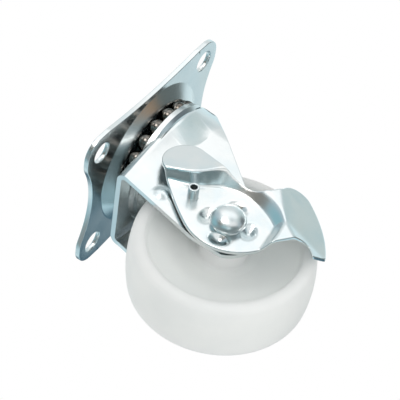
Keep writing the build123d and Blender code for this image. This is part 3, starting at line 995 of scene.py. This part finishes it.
@dataclass
class PressedLever:
    """The brake lever: a flat disc on the axle, a raised pad above and a folded pedal below."""

    finish: bpy.types.Material
    face_mm: float = 15.7
    sheet_mm: float = 1.2
    edge_mm: float = 0.28
    spacing_mm: float = 0.4
    pad_rise_mm: float = 5.03
    pad_tilt: Triple = (55.0, 6.5, 8.0)
    tilt_bend_mm: float = 0.8
    ridge_mm: float = 2.7
    climb: Triple = (5.0, 13.0, 1.3)
    fold: Triple = (-50.6, 14.6, 35.0)
    notch: Triple = (-34.0, 13.8, 1.3)
    notch_bend_mm: float = 0.5
    cap_bend_mm: float = 0.4
    bend_mm: float = 0.8
    foot_bend_mm: float = 0.45
    pad_bend_mm: float = 0.42
    dimples: int = 4
    dimple_mm: Point2 = (2.7, 3.6)
    dimple_deep_mm: Point2 = (1.4, 0.95)
    dimple_at_mm: float = 5.9
    dimple_deg: float = 12.0
    holes: tuple[Triple, ...] = ((0.0, 0.0, 3.05), (*PIN_AT_MM, 1.5))
    hole_least: int = 16
    rim_deg: Triple = (30.0, 60.0, 90.0)
    row_share: float = 0.866
    clear_share: float = 0.6
    foot_corner: int = 13
    foot: tuple[Triple, ...] = (
        (-1.0, 28.0, 3.0),
        (2.4, 21.4, 3.0),
        (3.6, 18.2, 2.7),
        (4.7, 15.6, 2.3),
        (6.1, 12.9, 1.8),
        (7.8, 10.6, 1.3),
        (9.2, 8.4, 1.0),
        (10.1, 5.7, 0.86),
        (10.5, 3.2, 0.8),
        (10.5, 0.5, 0.8),
        (10.1, -2.3, 0.85),
        (9.3, -5.1, 0.9),
        (8.2, -7.6, 1.0),
        (6.9, -9.7, 1.1),
        (4.1, -10.4, 1.15),
        (1.7, -10.7, 1.15),
        (-0.8, -11.1, 1.15),
        (-12.0, -12.8, 1.15),
    )

    def outline(self) -> np.ndarray:
        """Side view of the lever round the axle, closed, in millimetres.

        Returns:
            The points in order, one a row.
        """
        gap = self.spacing_mm
        parts = [
            through((2.5, 21.4), (7.4, 26.1), (15.1, 19.6), gap),
            eased([(15.1, 19.6), (13.7, 13.4), (12.5, 6.5), (13.0, -0.6), (17.6, -5.0)], gap),
            through((17.6, -5.0), (21.9, -6.6), (23.1, -10.4), gap),
            through((23.1, -10.4), (19.5, -16.6), (10.4, -24.3), gap),
            eased([(10.4, -24.3), (5.4, -22.8)], gap),
            eased([(5.4, -22.8), (7.6, -20.2), (7.4, -18.2), (4.6, -16.3), (-3.2, -10.7)], gap),
            through((-3.2, -10.7), (-9.2, -1.0), (-7.2, 8.6), gap),
            through((-7.2, 8.6), (-3.2, 14.5), (2.5, 21.4), gap),
        ]
        line = np.vstack(parts)
        for _ in range(2):
            line = 0.5 * line + 0.25 * (np.roll(line, 1, 0) + np.roll(line, -1, 0))
        return line

    def height(self, at: np.ndarray) -> np.ndarray:
        """Height of the outer face over the disc at points of the side view.

        Args:
            at: points, one a row.

        Returns:
            The heights.
        """
        curve, straight = self.foot[: self.foot_corner + 1], self.foot[self.foot_corner :]
        foot = np.vstack([eased(curve, self.spacing_mm), np.array(straight)])
        a, b = foot[:-1, :2], foot[1:, :2]
        run = b - a
        rel = at[:, None, :] - a[None]
        t = np.clip((rel * run).sum(2) / (run**2).sum(1), 0.0, 1.0)
        gap = rel - t[..., None] * run
        far = np.hypot(gap[..., 0], gap[..., 1])
        near = far.argmin(1)
        rows = np.arange(len(at))
        side = run[near, 0] * rel[rows, near, 1] - run[near, 1] * rel[rows, near, 0]
        beyond = np.where(side > 0, 1.0, -1.0) * far[rows, near]
        slope = foot[near, 2] + t[rows, near] * (foot[near + 1, 2] - foot[near, 2])
        wall = slope * soft_step(beyond, self.foot_bend_mm)

        def past(deg: float, place: float) -> np.ndarray:
            """Distance beyond the line at this angle and place."""
            turn = math.radians(deg)
            return at @ np.array([math.cos(turn), math.sin(turn)]) - place

        tilt_deg, tilt_at, tilt = self.pad_tilt
        tilted = soft_step(past(tilt_deg, tilt_at), self.tilt_bend_mm)
        pad = self.pad_rise_mm - math.tan(math.radians(tilt)) * tilted
        notched = past(*self.notch[:2]) * self.notch[2]
        crease = soft_least(past(*self.fold[:2]), notched, self.notch_bend_mm)
        climb = np.clip((at[:, 1] - self.climb[0]) / (self.climb[1] - self.climb[0]), 0.0, 1.0)
        ridge = self.ridge_mm + self.climb[2] * climb**2 * (3.0 - 2.0 * climb)
        pedal = ridge - math.tan(math.radians(self.fold[2])) * soft_step(crease, self.bend_mm)
        cap = soft_least(pad, pedal, self.cap_bend_mm)
        return soft_least(wall, cap, self.bend_mm + (self.pad_bend_mm - self.bend_mm) * climb)

    def dent(self, at: np.ndarray) -> np.ndarray:
        """Share of the dimples' depth at points of the side view.

        Args:
            at: points, one a row.

        Returns:
            Values from 0 on the plain sheet to 1 in a dimple's middle.
        """
        share = np.zeros(len(at))
        for k in range(self.dimples):
            turn = math.radians(self.dimple_deg + 360.0 * k / self.dimples)
            out = np.array([math.cos(turn), math.sin(turn)])
            rel = at - self.dimple_at_mm * out
            across = rel @ np.array([-out[1], out[0]])
            far = np.hypot(rel @ out / self.dimple_mm[0], across / self.dimple_mm[1])
            near_by = np.clip(far, 0.0, 1.0)
            share = np.maximum(share, 0.5 * (1.0 + np.cos(math.pi * near_by)))
        return share

    def build(self) -> bpy.types.Object:
        """Fills the outline with a fine mesh, presses it and rounds its rim.

        Returns:
            The lever piece.
        """
        loops = [self.outline()]
        for x, z, r in self.holes:
            count = max(self.hole_least, round(2 * math.pi * r / self.spacing_mm))
            turns = 2 * math.pi * np.arange(count) / count
            loops.append(np.array([x, z]) + r * np.c_[np.cos(turns), -np.sin(turns)])
        normals = [self._leftward(loop) for loop in loops]
        inset = [loop - self.edge_mm * normal for loop, normal in zip(loops, normals)]
        fill, faces = self._filled(inset)
        heights = self.height(fill)
        count = len(fill)
        drop = [np.zeros(count), np.full(count, self.sheet_mm)]
        quads: list[tuple[int, ...]] = []
        first = 0
        turns = [math.radians(a) for a in self.rim_deg]
        steps = [(self.edge_mm * (1 - math.sin(a)), self.edge_mm * (1 - math.cos(a))) for a in turns]
        steps += [(i, self.sheet_mm - d) for i, d in reversed(steps)]
        rows: list[np.ndarray] = []
        total = 2 * count
        for loop, normal in zip(loops, normals):
            n = len(loop)
            rings = [np.arange(first, first + n)]
            for i, d in steps:
                rows.append(loop - i * normal)
                drop.append(np.full(n, d))
                rings.append(np.arange(total, total + n))
                total += n
            rings.append(np.arange(first, first + n) + count)
            for upper, lower in zip(rings, rings[1:]):
                for k in range(n):
                    j = (k + 1) % n
                    quads.append((int(upper[k]), int(upper[j]), int(lower[j]), int(lower[k])))
            first += n
        side = np.vstack([fill, fill, *rows])
        level = np.concatenate([heights, heights, self.height(np.vstack(rows))])
        level -= np.concatenate(drop)
        front, back = self.dimple_deep_mm
        level[:count] -= front * self.dent(fill)
        level[count : 2 * count] -= back * self.dent(fill)
        place = np.c_[AXLE_X + side[:, 0], -(self.face_mm + level), AXLE_Z + side[:, 1]] * MM
        under = [tuple(i + count for i in reversed(f)) for f in faces]
        mesh = bpy.data.meshes.new("pressed_lever")
        mesh.from_pydata(place.tolist(), [], [*faces, *under, *quads])
        smoothed(mesh)
        mesh.materials.append(self.finish)
        return settle(link(mesh, "pressed_lever"), Body.LEVER, Slot.LEVER, ["brake_lever"])

    @staticmethod
    def _leftward(loop: np.ndarray) -> np.ndarray:
        """Normals of a closed loop, on the left as it runs.

        Args:
            loop: its points in order.

        Returns:
            One unit normal for each point.
        """
        along = np.roll(loop, -1, 0) - np.roll(loop, 1, 0)
        normal = np.c_[-along[:, 1], along[:, 0]]
        return normal / np.hypot(normal[:, 0], normal[:, 1])[:, None]

    def _filled(self, loops: Sequence[np.ndarray]) -> tuple[np.ndarray, list[tuple[int, ...]]]:
        """Triangles between the outer loop and the holes.

        Args:
            loops: the outline and then the holes.

        Returns:
            The points, the loops' own first and in order, and the faces.
        """
        low, high = loops[0].min(0), loops[0].max(0)
        gap = self.spacing_mm
        xs = np.arange(low[0], high[0], gap)
        zs = np.arange(low[1], high[1], gap * self.row_share)
        grid = np.array([(x + (0.5 * gap if j % 2 else 0.0), z) for j, z in enumerate(zs) for x in xs])
        grid = grid[self._on_sheet(grid, loops)]
        rim = np.vstack(loops)
        apart = np.hypot(*(grid[:, None, :] - rim[None]).transpose(2, 0, 1)).min(axis=1)
        points = np.vstack([rim, grid[apart > gap * self.clear_share]])
        edges, first = [], 0
        for loop in loops:
            edges += [(first + k, first + (k + 1) % len(loop)) for k in range(len(loop))]
            first += len(loop)
        made = delaunay_2d_cdt([Vector(p) for p in points], edges, [], 0, 1e-9)
        where = np.array([p[:] for p in made[0]])
        source = [ids[0] if ids else -1 for ids in made[3]]
        if len(where) != len(points) or -1 in source:
            raise ValueError("the lever's outline crosses itself")
        faces = [tuple(source[i] for i in f) for f in made[2]]
        middle = np.array([points[list(f)].mean(0) for f in faces])
        return points, [f for f, good in zip(faces, self._on_sheet(middle, loops)) if good]

    def _on_sheet(self, at: np.ndarray, loops: Sequence[np.ndarray]) -> np.ndarray:
        """Finds the points that lie on the sheet.

        Args:
            at: points, one a row.
            loops: the outline and then the holes.

        Returns:
            True for each point inside the outline and outside the holes.
        """
        keep = self._inside(at, loops[0])
        for hole in loops[1:]:
            keep &= ~self._inside(at, hole)
        return keep

    @staticmethod
    def _inside(at: np.ndarray, loop: np.ndarray) -> np.ndarray:
        """Finds the points inside a closed loop.

        Args:
            at: points, one a row.
            loop: the loop's points in order.

        Returns:
            True for each point inside.
        """
        inside = np.zeros(len(at), bool)
        for a, b in zip(loop, np.roll(loop, -1, 0)):
            crosses = (a[1] > at[:, 1]) != (b[1] > at[:, 1])
            if crosses.any():
                x = a[0] + (at[:, 1] - a[1]) / (b[1] - a[1]) * (b[0] - a[0])
                inside ^= crosses & (at[:, 0] < x)
        return inside


def settle(piece: bpy.types.Object, body: Body, slot: Slot, nodes: Iterable[str]) -> bpy.types.Object:
    """Puts a piece on its body and hides the CAD nodes that it stands for.

    Args:
        piece: the finished object.
        body: what it rides on.
        slot: the record's slot of its finish; not used.
        nodes: the CAD nodes that it replaces.

    Returns:
        The same object.
    """
    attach(piece, body.value)
    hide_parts(*nodes)
    LOG.info("%s: %d faces, rides on %s", piece.name, len(piece.data.polygons), body.value)
    return piece


@dataclass
class StopBump:
    """Soft-footed dome pressed out of the fork's leg for the lever to snap over."""

    across_mm: Point2 = (-1.057, 20.172)
    face_mm: float = -13.5
    rise_mm: float = 0.8
    reach_mm: float = 3.4
    sink_mm: float = 0.1
    rings: int = 14
    segments: int = 48

    def add_to(self, shape: bmesh.types.BMesh) -> None:
        """Adds the dome as a closed shell sunk into the leg.

        Args:
            shape: the fork's shape.
        """
        radii = [self.reach_mm * k / self.rings for k in range(1, self.rings + 1)]
        tops = [self.rise_mm * (1 + math.cos(math.pi * r / self.reach_mm)) / 2 for r in radii]
        rows = [self._ring(shape, r, rise) for r, rise in zip(radii, tops)]
        rows.append(self._ring(shape, self.reach_mm, -self.sink_mm))
        top = self._ring(shape, 0.0, self.rise_mm, 1)[0]
        foot = self._ring(shape, 0.0, -self.sink_mm, 1)[0]
        faces = []
        for k in range(self.segments):
            on = (k + 1) % self.segments
            faces.append(shape.faces.new((top, rows[0][k], rows[0][on])))
            faces.append(shape.faces.new((foot, rows[-1][on], rows[-1][k])))
            for inner, outer in zip(rows, rows[1:]):
                faces.append(shape.faces.new((inner[k], outer[k], outer[on], inner[on])))
        bmesh.ops.recalc_face_normals(shape, faces=faces)

    def _ring(
        self, shape: bmesh.types.BMesh, radius: float, rise: float, count: int = 0
    ) -> list[bmesh.types.BMVert]:
        """Adds the points of one ring about the dome's own axis.

        Args:
            shape: the fork's shape.
            radius: the ring's radius in millimetres.
            rise: its height over the leg's face in millimetres.
            count: how many points, or nought for the usual number.

        Returns:
            The new points in order.
        """
        along_x, along_z = self.across_mm
        ring = []
        for k in range(count or self.segments):
            turn = 2 * math.pi * k / self.segments
            x = AXLE_X + along_x + radius * math.cos(turn)
            z = AXLE_Z + along_z + radius * math.sin(turn)
            ring.append(shape.verts.new((x * MM, (self.face_mm - rise) * MM, z * MM)))
        return ring


@dataclass
class StampedSheet:
    """A CAD sheet whose sheared edges are rounded over."""

    node: str
    body: Body
    slot: Slot
    finish: bpy.types.Material
    edge_mm: float = 0.2
    weld_mm: float = 0.002
    flat_deg: float = 0.5
    crease_deg: float = 20.0
    sharp_deg: float = 55.0
    below_mm: float = 1.0
    bump: StopBump | None = None

    def build(self, frame: Mapping[str, Any]) -> bpy.types.Object:
        """Copies the CAD mesh, welds it and rolls its sharp edges.

        Args:
            frame: the loaded frame.

        Returns:
            The new piece.
        """
        source = frame["nodes"][self.node].data
        mesh = bpy.data.meshes.new(self.node + "_rolled")
        corners = [tuple(v.co) for v in source.vertices]
        mesh.from_pydata(corners, [], [tuple(p.vertices) for p in source.polygons])
        shape = bmesh.new()
        shape.from_mesh(mesh)
        bmesh.ops.remove_doubles(shape, verts=shape.verts, dist=self.weld_mm * MM)
        bmesh.ops.dissolve_degenerate(shape, dist=self.weld_mm * MM, edges=shape.edges)
        flat = {"angle_limit": math.radians(self.flat_deg), "delimit": set()}
        bmesh.ops.dissolve_limit(shape, verts=shape.verts, edges=shape.edges, **flat)
        least = math.radians(self.crease_deg)
        creases = [
            edge
            for edge in shape.edges
            if len(edge.link_faces) == 2
            and edge.calc_face_angle() > least
            and max(v.co.z for v in edge.verts) < self.below_mm * MM
        ]
        bmesh.ops.bevel(
            shape,
            geom=creases,
            offset=self.edge_mm * MM,
            offset_type="OFFSET",
            segments=2,
            profile=0.5,
            affect="EDGES",
            clamp_overlap=False,
        )
        if self.bump:
            self.bump.add_to(shape)
        for face in shape.faces:
            face.smooth = True
        bmesh.ops.triangulate(shape, faces=[f for f in shape.faces if len(f.verts) > 4])
        shape.to_mesh(mesh)
        shape.free()
        mesh.set_sharp_from_angle(angle=math.radians(self.sharp_deg))
        mesh.materials.append(self.finish)
        piece = link(mesh, self.node + "_rolled")
        weigh = piece.modifiers.new("weigh", "WEIGHTED_NORMAL")
        weigh.keep_sharp = True
        return settle(piece, self.body, self.slot, [self.node])


def dress(frame: Mapping[str, Any], node: str, material: bpy.types.Material) -> None:
    """Gives a CAD node its finish.

    Args:
        frame: the loaded frame.
        node: the CAD node's name.
        material: the finish.
    """
    piece = frame["nodes"][node]
    piece.data.materials.clear()
    piece.data.materials.append(material)
    LOG.info("%s keeps its CAD mesh", node)


def main() -> None:
    """Builds the castor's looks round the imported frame."""
    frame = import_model()
    finishes = Finishes()
    Studio().build()
    BallRaces(finishes.ball).build(frame)
    StampedSheet("top_plate", Body.BASE, Slot.PLATE, finishes.plate).build(frame)
    StampedSheet("lower_race_cup", Body.BASE, Slot.FORK, finishes.fork).build(frame)
    StampedSheet(
        "fork",
        Body.FORK,
        Slot.FORK,
        finishes.fork,
        edge_mm=0.28,
        crease_deg=50.0,
        sharp_deg=32.0,
        below_mm=-10.0,
        bump=StopBump(),
    ).build(frame)
    PressedLever(finishes.lever).build()
    PlasticWheel(finishes.wheel).build()
    AxleRivet(finishes.rivet).build()
    LeverPin(finishes.rivet).build()
    for node in ("kingpin", "axle_bush"):
        dress(frame, node, finishes.rivet)


if __name__ == "__main__":
    main()
